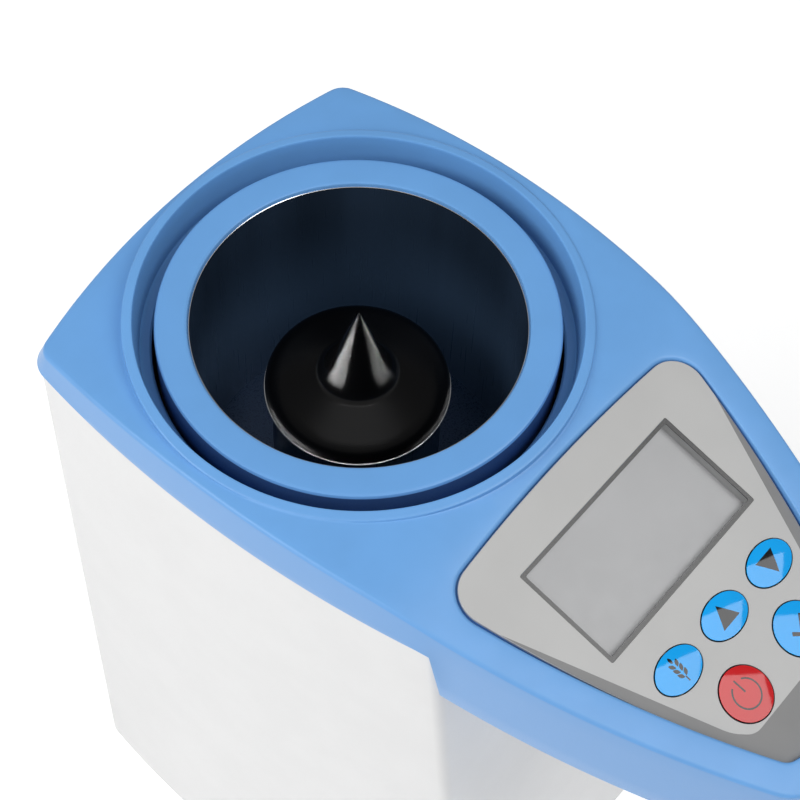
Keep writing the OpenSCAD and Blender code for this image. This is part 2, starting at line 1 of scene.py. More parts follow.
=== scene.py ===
"""Looks of the grain moisture meter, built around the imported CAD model.

Shapes are written in millimetres from the middle of the cup's ring: X to the user's right, Y away from the
nose, Z up from the ring's flat top. place() turns them into metres in the row frame.
"""

import math

import bmesh
import bpy
import numpy as np
from mathutils import Matrix, Vector
from mathutils.geometry import delaunay_2d_cdt


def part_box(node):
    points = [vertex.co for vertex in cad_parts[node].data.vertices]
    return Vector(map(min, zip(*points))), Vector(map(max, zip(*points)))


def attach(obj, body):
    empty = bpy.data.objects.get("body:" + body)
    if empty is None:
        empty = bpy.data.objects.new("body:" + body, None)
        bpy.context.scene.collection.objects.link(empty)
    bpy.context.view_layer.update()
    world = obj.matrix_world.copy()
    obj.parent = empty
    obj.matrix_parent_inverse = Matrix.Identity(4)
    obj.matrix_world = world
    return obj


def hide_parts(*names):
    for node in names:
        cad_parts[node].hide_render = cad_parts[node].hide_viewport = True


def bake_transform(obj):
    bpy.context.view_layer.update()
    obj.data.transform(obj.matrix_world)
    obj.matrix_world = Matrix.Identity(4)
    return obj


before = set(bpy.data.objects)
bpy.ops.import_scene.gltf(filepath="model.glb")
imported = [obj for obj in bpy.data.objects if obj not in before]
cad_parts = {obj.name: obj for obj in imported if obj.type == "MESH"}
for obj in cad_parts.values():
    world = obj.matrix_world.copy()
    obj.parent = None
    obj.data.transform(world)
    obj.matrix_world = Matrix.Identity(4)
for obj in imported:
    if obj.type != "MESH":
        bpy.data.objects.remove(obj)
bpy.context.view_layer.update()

MM = 0.001
ring_low, ring_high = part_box("cup_ring")
CUP_Y = (ring_low.y + ring_high.y) / 2
RING_TOP = ring_high.z


def place(p):
    return Vector((p[0] * MM, p[1] * MM + CUP_Y, p[2] * MM + RING_TOP))


# ---- Camera, first ----

CAMERA_AZIMUTH = math.radians(-52.825)
CAMERA_ELEVATION = math.radians(57.608)
CAMERA_ROLL = math.radians(3.149)
CAMERA_DISTANCE = 0.49824
CAMERA_LENS = 96.12
CAMERA_OFFSET = (-0.009528, 0.018856)


def add_camera():
    az, el, roll = CAMERA_AZIMUTH, CAMERA_ELEVATION, CAMERA_ROLL
    back = Vector((math.sin(az) * math.cos(el), -math.cos(az) * math.cos(el), math.sin(el)))
    level = Vector((math.cos(az), math.sin(az), 0))
    steep = back.cross(level)
    right = level * math.cos(roll) + steep * math.sin(roll)
    up = steep * math.cos(roll) - level * math.sin(roll)
    camera = bpy.data.objects.new("camera", bpy.data.cameras.new("camera"))
    camera.data.lens = CAMERA_LENS
    camera.data.sensor_width = 36
    camera.data.clip_start = 0.01
    spot = place((0, 0, 0)) + back * CAMERA_DISTANCE - right * CAMERA_OFFSET[0] - up * CAMERA_OFFSET[1]
    camera.matrix_world = Matrix.Translation(spot) @ Matrix((right, up, back)).transposed().to_4x4()
    bpy.context.scene.collection.objects.link(camera)
    bpy.context.scene.camera = camera


add_camera()

# ---- Shape of the cover ----

# Plan: a shield of arcs for the sides, the back and the nose.
COVER_W = 120.0
SIDE_R = 310.0
BACK_Y = 61.0
BACK_R = 200.0
BACK_CORNER = 7.0
NOSE_Y = -150.0
NOSE_R = 60.0
NOSE_CORNER = 14.0
BODY_INSET = 0.8

# Height of the top: an arch over the cup, a straight slope on the nose, and a fall towards both sides.
ARCH_TOP = 2.9
ARCH_Y = -15.6
ARCH_R = 448.0
NOSE_TOP_Z = 0.12
NOSE_SLOPE = 0.2498
ARCH_BLEND = 1.4
SIDE_FALL = 0.000375

# Lower edge of the skirt, round the body and round the nose, and the sections of the cover's walls.
SKIRT_Z = -8.8
NOSE_SKIRT_Z = -21.12
NOSE_SKIRT_Y = -53.4
NOSE_SKIRT_SLOPE = 0.2493
SKIRT_STEP_Y = -64.8
SKIRT_STEP_LENGTH = 3.4
FOOT_INSET = 2.2
EDGE_DROP = 1.2
COVER_WALL = 2.3
TOP_INSET = 2.9
WALL_INSET = 4.0

# Control panel. N is the distance out from its face.
PANEL_INSET = 9.6
PANEL_BACK_Y = -58.0
PANEL_BACK_R = 450.0
PANEL_CORNER = 8.0
PANEL_TILT = math.radians(16)
DISPLAY_Y = -82.5
DISPLAY_Z = -7.3
SHELF_N = -0.8
SHELF_UNDER_N = -2.9
GROOVE_N = -1.7
GROOVE_W = 0.8
WINDOW_W = 54.2
WINDOW_H = 27.6
WINDOW_LEDGE = 0.75
FRAME_LINE = 1.0

# Raised lip round the cup: (radius, height over the top) of its fillet, then (radius, height) of the rest.
LIP_FOOT = [(55.75, 0.0), (55.45, 0.03), (55.25, 0.1)]
LIP = [
    (55.12, 2.1), (54.98, 2.22), (54.75, 2.31), (54.3, 2.38), (53.8, 2.45), (53.3, 2.56), (52.95, 2.62),
    (52.76, 2.56), (52.64, 2.38), (52.56, 2.0), (52.3, -1.0), (51.9, -5.0), (51.6, -7.4), (51.0, -7.85),
    (50.4, -8.0), (49.3, -8.1), (48.85, -8.6), (48.8, -10.0), (49.1, -10.5), (54.7, -10.5), (55.1, -10.1),
]
LIP_UNDER_R = 55.1

# Middle, in panel coordinates, and half axes of each key, and the gap round it in the cover and in the film.
KEYS = {
    "key_grain": (-17.5, -25.6, 6.75, 4.6),
    "key_up": (0.0, -25.6, 6.75, 4.6),
    "key_down": (17.5, -25.6, 6.75, 4.6),
    "key_power": (-10.5, -40.2, 6.45, 6.45),
    "key_confirm": (10.5, -40.2, 6.45, 6.45),
}
KEY_GAP = 0.35
FILM_GAP = 0.3


def smooth_step(t):
    t = min(max(t, 0.0), 1.0)
    return t * t * (3 - 2 * t)


def smooth_min(a, b, k):
    h = max(k - abs(a - b), 0) / k
    return min(a, b) - h * h * k / 4


def top_z(x, y):
    """Height of the cover's top: an arch over the cup that runs into the slope of the nose."""
    arch = ARCH_TOP - (y - ARCH_Y) ** 2 / (2 * ARCH_R)
    slope = NOSE_TOP_Z + NOSE_SLOPE * (y - PANEL_BACK_Y)
    return smooth_min(arch, slope, ARCH_BLEND) - SIDE_FALL * x * x


def skirt_z(y):
    """Height of the skirt's lower edge: level round the body, deep and sloping round the nose."""
    nose = NOSE_SKIRT_Z + NOSE_SKIRT_SLOPE * (y - NOSE_SKIRT_Y)
    return SKIRT_Z + (nose - SKIRT_Z) * smooth_step((SKIRT_STEP_Y - y) / SKIRT_STEP_LENGTH)


def panel_z(y, n=0.0):
    """Height of the plane that lies n above the control panel's face."""
    return DISPLAY_Z + (y - DISPLAY_Y) * math.tan(PANEL_TILT) + n / math.cos(PANEL_TILT)


def roof_z(x, y):
    """Height of the inside of the cover's top."""
    return smooth_min(top_z(x, y) - COVER_WALL, panel_z(y, SHELF_UNDER_N), 0.8)


def on_panel(p):
    """Panel coordinates, X, up the slope and out, to cup coordinates."""
    c, s = math.cos(PANEL_TILT), math.sin(PANEL_TILT)
    return (p[0], DISPLAY_Y + p[1] * c - p[2] * s, DISPLAY_Z + p[1] * s + p[2] * c)


def circle_meet(c0, r0, c1, r1, side):
    """Point where two circles cross. side is 1 for the one on the left of the line from c0 to c1."""
    d = c1 - c0
    a = (r0 * r0 - r1 * r1 + d.length_squared) / (2 * d.length)
    h = math.sqrt(r0 * r0 - a * a)
    u = d.normalized()
    return c0 + a * u + side * h * Vector((-u.y, u.x))


def arc(c, r, a0, a1, steps):
    """Points on an arc from angle a0 to a1, at these shares of it."""
    return [
        (c.x + r * math.cos(a0 + (a1 - a0) * t), c.y + r * math.sin(a0 + (a1 - a0) * t)) for t in steps
    ]


def even(n):
    return [i / n for i in range(n + 1)]


def heading(p, q):
    return math.atan2(q.y - p.y, q.x - p.x)


def mirrored(half):
    """Whole outline from its right half, which runs from the middle of the nose to the middle of the back."""
    return half + [(-x, y) for x, y in reversed(half[1:-1])]


def shield(half_w, side_r, back_y, back_r, nose_y, nose_r, back_corner, nose_corner, side_steps):
    """Closed outline of arcs: the nose, the sides and the back, with round corners between them."""
    side = Vector((half_w - side_r, 0))
    back = Vector((0, back_y - back_r))
    nose = Vector((0, nose_y + nose_r))
    near = circle_meet(side, side_r - nose_corner, nose, nose_r - nose_corner, -1)
    far = circle_meet(side, side_r - back_corner, back, back_r - back_corner, 1)
    half = arc(nose, nose_r, -math.pi / 2, heading(nose, near), even(16))
    half += arc(near, nose_corner, heading(nose, near), heading(side, near), even(12))[1:]
    half += arc(side, side_r, heading(side, near), heading(side, far), side_steps)[1:]
    half += arc(far, back_corner, heading(side, far), heading(back, far), even(14))[1:]
    half += arc(back, back_r, heading(back, far), math.pi / 2, even(22))[1:]
    return mirrored(half)


# Shares of a side's length at which it has points, closer together where the skirt's edge steps.
STEP_AT = 0.145
SIDE_STEPS = sorted(even(56) + [STEP_AT + 0.0021 * i for i in range(-12, 13)])


def cover_outline(inset):
    return shield(
        COVER_W / 2 - inset, SIDE_R - inset, BACK_Y - inset, BACK_R - inset,
        NOSE_Y + inset, NOSE_R - inset, BACK_CORNER - inset, NOSE_CORNER - inset, SIDE_STEPS,
    )


def panel_outline(inset):
    k = PANEL_INSET + inset
    return shield(
        COVER_W / 2 - k, SIDE_R - k, PANEL_BACK_Y - inset, PANEL_BACK_R - inset,
        NOSE_Y + k, NOSE_R - k, PANEL_CORNER - inset, NOSE_CORNER - k, even(40),
    )


def circle(r, n=160):
    return [(r * math.cos(2 * math.pi * i / n), r * math.sin(2 * math.pi * i / n)) for i in range(n)]


def ellipse(cx, cy, a, b, n=96):
    return [(cx + a * x, cy + b * y) for x, y in circle(1, n)]


def rounded_box(w, h, r, n=6):
    """Rectangle with rounded corners, centred on the origin."""
    points = []
    for sx, sy, start in ((1, -1, -90), (1, 1, 0), (-1, 1, 90), (-1, -1, 180)):
        c = Vector((sx * (w / 2 - r), sy * (h / 2 - r)))
        points += arc(c, r, math.radians(start), math.radians(start + 90), even(n))
    return points


def divided(points, step):
    """Closed outline with its long edges cut to pieces of about that length."""
    made = []
    for (x0, y0), (x1, y1) in zip(points, points[1:] + points[:1]):
        n = max(1, round(math.hypot(x1 - x0, y1 - y0) / step))
        made += [(x0 + (x1 - x0) * i / n, y0 + (y1 - y0) * i / n) for i in range(n)]
    return made


def inside(outline, points):
    """Which of the points lie inside the outline."""
    x, y = points[:, 0], points[:, 1]
    found = np.zeros(len(points), bool)
    for (x0, y0), (x1, y1) in zip(outline, outline[1:] + outline[:1]):
        if y0 != y1:
            found ^= ((y0 > y) != (y1 > y)) & (x < (x1 - x0) * (y - y0) / (y1 - y0) + x0)
    return found


# Distance between the rows of an even grid, as a share of its step.
ROW_STEP = 0.866


class Surface:
    """Points in millimetres and faces between loops of them. slot is the material of the next faces."""

    def __init__(self, to_cup=None):
        self.points, self.faces, self.slots = [], [], []
        self.slot = 0
        self.to_cup = to_cup or (lambda p: p)

    def loop(self, points):
        first = len(self.points)
        self.points += [tuple(p) for p in points]
        return list(range(first, len(self.points)))

    def face(self, corners):
        self.faces.append(tuple(corners))
        self.slots.append(self.slot)

    def skin(self, loops, around=False):
        """Bands of faces from each loop to the next, and from the last to the first if it goes around."""
        pairs = list(zip(loops, loops[1:])) + ([(loops[-1], loops[0])] if around else [])
        for a, b in pairs:
            for i in range(len(a)):
                j = (i + 1) % len(a)
                self.face((a[i], a[j], b[j], b[i]))
        return loops

    def fan(self, loop, point):
        tip = self.loop([point])[0]
        for i in range(len(loop)):
            self.face((loop[i], loop[(i + 1) % len(loop)], tip))

    def turned(self, profile, n=160, slots=None, around=True):
        """Surface of revolution of a profile of (radius, height)."""
        loops = []
        for r, z in profile:
            loops.append(self.loop([(x, y, z) for x, y in circle(r, n)]) if r > 0 else self.loop([(0, 0, z)]))
        count = len(loops) if around else len(loops) - 1
        for i in range(count):
            a, b = loops[i], loops[(i + 1) % len(loops)]
            self.slot = slots[i] if slots else 0
            if len(a) == 1 and len(b) == 1:
                continue
            if len(a) == 1 or len(b) == 1:
                ring, tip = (b, a[0]) if len(a) == 1 else (a, b[0])
                for k in range(n):
                    self.face((ring[k], ring[(k + 1) % n], tip))
            else:
                self.skin([a, b])
        self.slot = 0
        return self

    def fill(self, outer, holes=(), lines=(), height=lambda x, y: 0.0, step=3.0, slot_of=None):
        """Triangles between the outer loop and the holes, with inner points on an even grid at that height.
        lines are closed loops or open runs of points that edges follow. slot_of gives a face's material."""
        rings = [list(r) for r in (outer, *holes)]
        index = sorted({i for ring in (*rings, *lines) for i in ring})
        at = {v: k for k, v in enumerate(index)}
        edges = [(at[a], at[b]) for r in rings for a, b in zip(r, r[1:] + r[:1])]
        edges += [(at[a], at[b]) for line in lines for a, b in zip(line, line[1:])]
        flat = np.array([self.points[i][:2] for i in index])
        shapes = [[self.points[i][:2] for i in r] for r in rings]
        (x0, y0), (x1, y1) = flat.min(0), flat.max(0)
        grid = []
        row = step * ROW_STEP
        for j in range(int((y1 - y0) / row) + 1):
            for i in range(int((x1 - x0) / step) + 1):
                grid.append((x0 + (i + 0.5 * (j % 2)) * step, y0 + (j + 0.5) * step * ROW_STEP))
        grid = np.array(grid)
        keep = inside(shapes[0], grid)
        for shape in shapes[1:]:
            keep &= ~inside(shape, grid)
        grid = grid[keep]
        if len(grid):
            aside, along = (grid[:, None, k] - flat[None, :, k] for k in (0, 1))
            grid = grid[np.min(np.hypot(aside, along), 1) > step * 0.6]
        for x, y in grid.tolist():
            index.append(len(self.points))
            self.points.append((x, y, height(x, y)))
        flat = [Vector(p) for p in flat.tolist() + grid.tolist()]
        spots, _, corners, origin = delaunay_2d_cdt(flat, edges, [], 0, 1e-7, True)[:4]
        where = []
        for spot, found in zip(spots, origin):
            if found:
                where.append(index[found[0]])
            else:
                where.append(len(self.points))
                self.points.append((spot.x, spot.y, height(spot.x, spot.y)))
        middles = np.array([np.mean([spots[i][:2] for i in t], 0) for t in corners])
        keep = inside(shapes[0], middles)
        for shape in shapes[1:]:
            keep &= ~inside(shape, middles)
        for t, middle, kept in zip(corners, middles, keep):
            if kept:
                if slot_of:
                    self.slot = slot_of(middle)
                self.face([where[i] for i in t])
        self.slot = 0


def add_piece(name, surface, materials, body, nodes=(), crease=34.0):
    """Object from a surface: welded, faced outwards, smooth apart from its creases, riding on its body."""
    mesh = bpy.data.meshes.new(name)
    mesh.from_pydata([place(surface.to_cup(p)) for p in surface.points], [], surface.faces)
    for m in materials if isinstance(materials, (list, tuple)) else [materials]:
        mesh.materials.append(m)
    mesh.polygons.foreach_set("material_index", surface.slots)
    bm = bmesh.new()
    bm.from_mesh(mesh)
    bmesh.ops.remove_doubles(bm, verts=bm.verts, dist=1e-7)
    bmesh.ops.dissolve_degenerate(bm, dist=1e-8, edges=bm.edges)
    bmesh.ops.recalc_face_normals(bm, faces=bm.faces)
    bm.to_mesh(mesh)
    bm.free()
    mesh.shade_smooth()
    mesh.set_sharp_from_angle(angle=math.radians(crease))
    made = bpy.data.objects.new(name, mesh)
    bpy.context.scene.collection.objects.link(made)
    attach(made, body)
    if nodes:
        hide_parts(*nodes)
    return made


# ---- Materials ----


class Nodes:
    """A new material's node tree, with short names for adding and joining nodes."""

    def __init__(self, name):
        self.material = bpy.data.materials.new(name)
        self.material.use_nodes = True
        self.tree = self.material.node_tree
        self.shader = self.tree.nodes["Principled BSDF"]
        self.output = self.tree.nodes["Material Output"]
        self.coords = self.add("ShaderNodeTexCoord")

    def add(self, kind, **settings):
        node = self.tree.nodes.new(kind)
        for key, value in settings.items():
            setattr(node, key, value)
        return node

    def join(self, start, end):
        self.tree.links.new(start, end)

    def noise(self, scale, detail=2.0, rough=0.5, stretch=None):
        node = self.add("ShaderNodeTexNoise")
        node.inputs["Scale"].default_value = scale
        node.inputs["Detail"].default_value = detail
        node.inputs["Roughness"].default_value = rough
        source = self.coords.outputs["Object"]
        if stretch:
            mapping = self.add("ShaderNodeMapping")
            mapping.inputs["Scale"].default_value = stretch
            self.join(source, mapping.inputs["Vector"])
            source = mapping.outputs["Vector"]
        self.join(source, node.inputs["Vector"])
        return node.outputs["Fac"]

    def ramp(self, value, low, high, to_low=0.0, to_high=1.0):
        node = self.add("ShaderNodeMapRange", interpolation_type="SMOOTHSTEP")
        for key, number in (("From Min", low), ("From Max", high), ("To Min", to_low), ("To Max", to_high)):
            node.inputs[key].default_value = number
        self.join(value, node.inputs["Value"])
        return node.outputs["Result"]

    def mix(self, factor, a, b):
        node = self.add("ShaderNodeMix", data_type="RGBA")
        self.join(factor, node.inputs["Factor"])
        for socket, colour in ((node.inputs["A"], a), (node.inputs["B"], b)):
            if isinstance(colour, tuple):
                socket.default_value = (*colour, 1.0)
            else:
                self.join(colour, socket)
        return node.outputs["Result"]

    def bump(self, height, strength, distance):
        node = self.add("ShaderNodeBump")
        node.inputs["Strength"].default_value = strength
        node.inputs["Distance"].default_value = distance
        self.join(height, node.inputs["Height"])
        self.join(node.outputs["Normal"], self.shader.inputs["Normal"])
        return node


# Depths under the ring, in metres, between which painted light sets in: a brighter colour far down in the
# cup's wall, standing in for the light that reaches down there.
PAINTED_LIGHT_SHALLOW = 0.01
PAINTED_LIGHT_DEEP = 0.065


def shade(colour, k):
    return tuple(min(c * k, 1.0) for c in colour)


def plain(name, colour, rough, metal=0.0, coat=0.0, spread=0.06, patch=60.0, grain=2600.0, depth=0.00002,
          strength=0.15, specular=0.5, painted_wall_sheen=None, stretch=None, rough_spread=0.06, ior=1.5, turned=0.0,
          deep=None):
    """Finish with large soft patches of shade, varied roughness and a fine moulded or machined grain.
    stretch is the scale of patches and grain along the object's axes. The colour given for walls is a painted
    reflection: walls take it, against faces that look up or down, as if they mirrored the bright room. turned
    stretches the gloss along Z, as rings of tool marks do. deep is painted light: a brighter colour far down
    in the cup, standing in for the light that reaches down there."""
    n = Nodes(name)
    patches = n.ramp(n.noise(patch, 3.0, 0.55, stretch), 0.3, 0.7)
    base = n.mix(patches, shade(colour, 1 - spread), shade(colour, 1 + spread))
    if deep:
        # Painted light: below the ring the colour turns to the brighter deep one, standing in for light that
        # reaches far down the cup.
        below = n.add("ShaderNodeSeparateXYZ")
        n.join(n.coords.outputs["Object"], below.inputs["Vector"])
        base = n.mix(n.ramp(below.outputs["Z"], RING_TOP - PAINTED_LIGHT_DEEP, RING_TOP - PAINTED_LIGHT_SHALLOW, 1.0, 0.0), base, deep)
    if painted_wall_sheen:
        # Painted reflection: walls turn to a paler colour, as if they mirrored the bright surroundings.
        up = n.add("ShaderNodeSeparateXYZ")
        n.join(n.coords.outputs["Normal"], up.inputs["Vector"])
        level = n.add("ShaderNodeMath", operation="ABSOLUTE")
        n.join(up.outputs["Z"], level.inputs[0])
        base = n.mix(n.ramp(level.outputs["Value"], 0.35, 0.85, 1.0, 0.0), base, painted_wall_sheen)
    n.join(base, n.shader.inputs["Base Color"])
    fine = n.noise(grain, 2.0, 0.5, stretch)
    n.join(n.ramp(fine, 0.25, 0.75, max(rough - rough_spread, 0.02), min(rough + rough_spread, 1.0)),
           n.shader.inputs["Roughness"])
    n.bump(fine, strength, depth)
    n.shader.inputs["Metallic"].default_value = metal
    n.shader.inputs["Coat Weight"].default_value = coat
    n.shader.inputs["Coat Roughness"].default_value = 0.03
    n.shader.inputs["Specular IOR Level"].default_value = specular
    n.shader.inputs["IOR"].default_value = ior
    if turned:
        around = n.add("ShaderNodeTangent", direction_type="RADIAL", axis="Z")
        n.join(around.outputs["Tangent"], n.shader.inputs["Tangent"])
        n.shader.inputs["Anisotropic"].default_value = turned
    return n.material


BLUE = (0.148, 0.372, 0.74)
# Painted reflection: the paler blue that the cover's walls take, as if they mirrored the bright surroundings.
BLUE_WALL_PAINTED_SHEEN = (0.18, 0.37, 0.69)
WHITE = (0.73, 0.73, 0.73)

cover_blue = plain("cover_blue", BLUE, 0.34, spread=0.025, specular=0.4)
# The skirt's walls carry the painted reflection in the paler blue.
skirt_blue_painted_sheen = plain("skirt_blue_painted_sheen", BLUE, 0.34, spread=0.025, painted_wall_sheen=BLUE_WALL_PAINTED_SHEEN, specular=0.4)
ring_blue = plain("ring_blue", shade(BLUE, 0.97), 0.34, spread=0.02, specular=0.4)
# Painted shade: the ring's outer side, down in the groove, is a much darker copy of the blue.
ring_side_painted_shade = plain("ring_side_painted_shade", (0.035, 0.085, 0.22), 0.5, spread=0.03, specular=0.3)
body_white = plain("body_white", WHITE, 0.38, spread=0.012, specular=0.4)
base_white = plain("base_white", (0.72, 0.72, 0.71), 0.55, spread=0.03, strength=0.3)
# Dark anodised metal with painted light: far down in the cup the wall turns to a brighter blue.
anodised_painted_deep_light = plain("anodised_painted_deep_light", (0.020, 0.036, 0.064), 0.3, metal=0.3, spread=0.3, patch=34, grain=1800,
                 stretch=(1, 1, 0.02), strength=0.02, rough_spread=0.03, turned=0.7, deep=(0.075, 0.14, 0.25))
bare_rim = plain("bare_rim", (0.85, 0.86, 0.88), 0.18, metal=1.0, grain=3000, strength=0.05)
cap_black = plain("cap_black", (0.004, 0.004, 0.0045), 0.16, spread=0.2, rough_spread=0.02, strength=0.02)
cap_satin = plain("cap_satin", (0.002, 0.0022, 0.003), 0.26, spread=0.2, rough_spread=0.01, strength=0.0,
                  specular=0.2)
floor_black = plain("floor_black", (0.016, 0.042, 0.095), 0.3, metal=0.3, strength=0.1)
field_grey = plain("field_grey", (0.47, 0.47, 0.465), 0.36, spread=0.03, patch=35, strength=0.1, specular=0.4)
border_grey = plain("border_grey", (0.20, 0.20, 0.20), 0.36, spread=0.04, patch=35, strength=0.1,
                    specular=0.4)
window_border = plain("window_border", (0.085, 0.085, 0.085), 0.25, spread=0.05, strength=0.05)
lcd_grey = plain("lcd_grey", (0.70, 0.69, 0.70), 0.35, spread=0.012, patch=30, grain=300, strength=0.0)
gasket_grey = plain("gasket_grey", (0.62, 0.62, 0.62), 0.7, grain=1800, strength=0.1)
KEY_GLOSS = dict(rough_spread=0.02, strength=0.02, ior=1.52)
key_blue = plain("key_blue", (0.0, 0.36, 0.86), 0.06, spread=0.02, **KEY_GLOSS)
key_red = plain("key_red", (0.56, 0.008, 0.012), 0.06, spread=0.02, **KEY_GLOSS)
key_ink = plain("key_ink", (0.004, 0.004, 0.005), 0.06, spread=0.1, **KEY_GLOSS)
rubber = plain("rubber", (0.018, 0.018, 0.018), 0.75, spread=0.2, strength=0.5, grain=1500)
steel = plain("steel", (0.60, 0.60, 0.61), 0.28, metal=1.0, spread=0.06, strength=0.1)
zinc = plain("zinc", (0.52, 0.52, 0.54), 0.36, metal=1.0, spread=0.12, patch=300, strength=0.1)
beam_aluminium = plain("beam_aluminium", (0.72, 0.73, 0.75), 0.33, metal=1.0, grain=1600,
                       stretch=(1, 0.03, 1))
sheet_metal = plain("sheet_metal", (0.58, 0.59, 0.60), 0.42, metal=1.0, spread=0.1, patch=120)
board_green = plain("board_green", (0.012, 0.13, 0.045), 0.3, spread=0.2, patch=220, strength=0.1)
chip_black = plain("chip_black", (0.012, 0.012, 0.013), 0.5, spread=0.1)
can_blue = plain("can_blue", (0.02, 0.035, 0.13), 0.3, spread=0.1)
connector_ivory = plain("connector_ivory", (0.72, 0.68, 0.55), 0.5, spread=0.05)
brass = plain("brass", (0.70, 0.50, 0.20), 0.28, metal=1.0, spread=0.08)
ribbon_grey = plain("ribbon_grey", (0.42, 0.42, 0.43), 0.45, spread=0.15, grain=1400, stretch=(6, 0.02, 0.02),
                    strength=0.5)
tray_black = plain("tray_black", (0.03, 0.03, 0.032), 0.55, spread=0.1, strength=0.3)
sleeve_green = plain("sleeve_green", (0.03, 0.10, 0.055), 0.25, spread=0.05, coat=0.3)
diffuser = plain("diffuser", (0.80, 0.81, 0.79), 0.6, spread=0.03)


def clear_window(name, glossy):
    """Clear sheet with a faint haze. Only its outer face is glossy."""
    n = Nodes(name)
    n.shader.inputs["Base Color"].default_value = (0.9, 0.92, 0.92, 1.0)
    through = n.add("ShaderNodeBsdfTransparent")
    gloss = n.add("ShaderNodeBsdfGlossy")
    gloss.inputs["Roughness"].default_value = 0.04
    fresnel = n.add("ShaderNodeFresnel")
    fresnel.inputs["IOR"].default_value = 1.45
    mix = n.add("ShaderNodeMixShader")
    haze = n.noise(60, 2.0)
    n.join(n.mix(n.ramp(haze, 0.3, 0.7), (0.955, 0.96, 0.96), (0.96, 0.965, 0.965)), through.inputs["Color"])
    if glossy:
        n.join(fresnel.outputs["Fac"], mix.inputs["Fac"])
    else:
        mix.inputs["Fac"].default_value = 0.0
    n.join(through.outputs["BSDF"], mix.inputs[1])
    n.join(gloss.outputs["BSDF"], mix.inputs[2])
    n.join(mix.outputs["Shader"], n.output.inputs["Surface"])
    return n.material


window_clear = clear_window("window_clear", True)
window_inner = clear_window("window_inner", False)

# ---- Cover ----


def lifted(outline, height):
    return [(x, y, height(x, y)) for x, y in outline]


def panel_shape(outline, n):
    """Outline in panel coordinates, at height n, in cup coordinates."""
    return [on_panel((x, y, n)) for x, y in outline]


def openings(grow):
    """Outlines in panel coordinates of the display's opening and the keys' holes in the cover."""
    rims = [divided(rounded_box(WINDOW_W - 2 * WINDOW_LEDGE, WINDOW_H - 2 * WINDOW_LEDGE, 0.8), 2.5)]
    return rims + [ellipse(x, y, a + grow, b + grow, 48) for x, y, a, b in KEYS.values()]


def build_cover():
    s = Surface()
    edge = lifted(cover_outline(TOP_INSET), top_z)
    foot = [skirt_z(y) for _, y in cover_outline(0)]

    def skirt(inset, up, share):
        """Loop of the skirt: share of the way from its foot to the drop under the top's edge, and then up."""
        return s.loop([
            (x, y, z0 + (e[2] - EDGE_DROP - z0) * share + up)
            for (x, y), z0, e in zip(cover_outline(inset), foot, edge)
        ])

    outer = [
        skirt(FOOT_INSET, 0, 0), skirt(0.4, 0, 0), skirt(0.12, 0.1, 0), skirt(0, 0.45, 0),
        skirt(0.35, 0, 0.25), skirt(0.8, 0, 0.5), skirt(1.3, 0, 0.78), skirt(1.72, 0, 1),
        skirt(1.84, 0.45, 1), skirt(2.08, 0.85, 1), skirt(2.45, 1.1, 1), s.loop(edge),
    ]
    # The skirt, whose walls carry a painted reflection in a paler blue.
    s.slot = 1
    s.skin(outer[:9])
    s.slot = 0
    s.skin(outer[8:])
    loops = [s.loop([(x, y, top_z(x, y) + up) for x, y in circle(r, 200)]) for r, up in LIP_FOOT]
    loops += [s.loop([(x, y, z) for x, y in circle(r, 200)]) for r, z in LIP]
    loops.append(s.loop(lifted(circle(LIP_UNDER_R, 200), roof_z)))
    s.skin(loops)
    recess = [
        s.loop([(x, y, top_z(x, y) - drop) for x, y in panel_outline(inset)])
        for inset, drop in ((-0.95, 0.0), (-0.6, 0.06), (-0.3, 0.2), (-0.1, 0.42), (-0.02, 0.7))
    ]
    for inset, n in ((0.0, GROOVE_N), (GROOVE_W, GROOVE_N), (GROOVE_W, SHELF_N)):
        recess.append(s.loop([(x, y, panel_z(y, n)) for x, y in panel_outline(inset)]))
    s.skin(recess)
    s.fill(outer[-1], [loops[0], recess[0]], height=top_z, step=3.0)
    upper = [s.loop(panel_shape(o, SHELF_N)) for o in openings(KEY_GAP)]
    lower = [s.loop(panel_shape(o, SHELF_UNDER_N)) for o in openings(KEY_GAP)]
    for a, b in zip(upper, lower):
        s.skin([a, b])
    s.fill(recess[-1], upper, height=lambda x, y: panel_z(y, SHELF_N), step=5.0)
    roof = s.loop(lifted(cover_outline(WALL_INSET), roof_z))
    inner = [outer[0]]
    for share in (0.3, 0.6, 0.85):
        plan = cover_outline(FOOT_INSET + (WALL_INSET - FOOT_INSET) * share)
        inner.append(s.loop([
            (x, y, z0 + (s.points[r][2] - z0) * share) for (x, y), z0, r in zip(plan, foot, roof)
        ]))
    inner.append(roof)
    s.skin(inner)
    s.fill(roof, [loops[-1], *lower], height=roof_z, step=6.0)
    return add_piece("cover_shell", s, [cover_blue, skirt_blue_painted_sheen], "housing", ["top_cover"])


build_cover()

# ---- Body ----

BODY_FLOOR = 3.0
FRONT_TOP_Y = -67.6
FRONT_TOP_Z = -24.66
FRONT_LEAN = math.tan(math.radians(5))
BODY_WALL = 2.7

# Levels of the outer wall: even ones from the foot's edge to the top, and close ones where the skirt steps.
BODY_EDGE = 1.6
EVEN_TOP_Z = -8.4
STEP_Z = -24.6
LEVEL_STEP = 0.8

# Hole for the power inlet. JACK_Z is its middle's height over the table.
JACK_Z = 30.0
INLET_R = 4.2
INLET_CHAMFER = 0.4
INLET_SIDES = 64


def front_y(z):
    return FRONT_TOP_Y - (FRONT_TOP_Z - z) * FRONT_LEAN


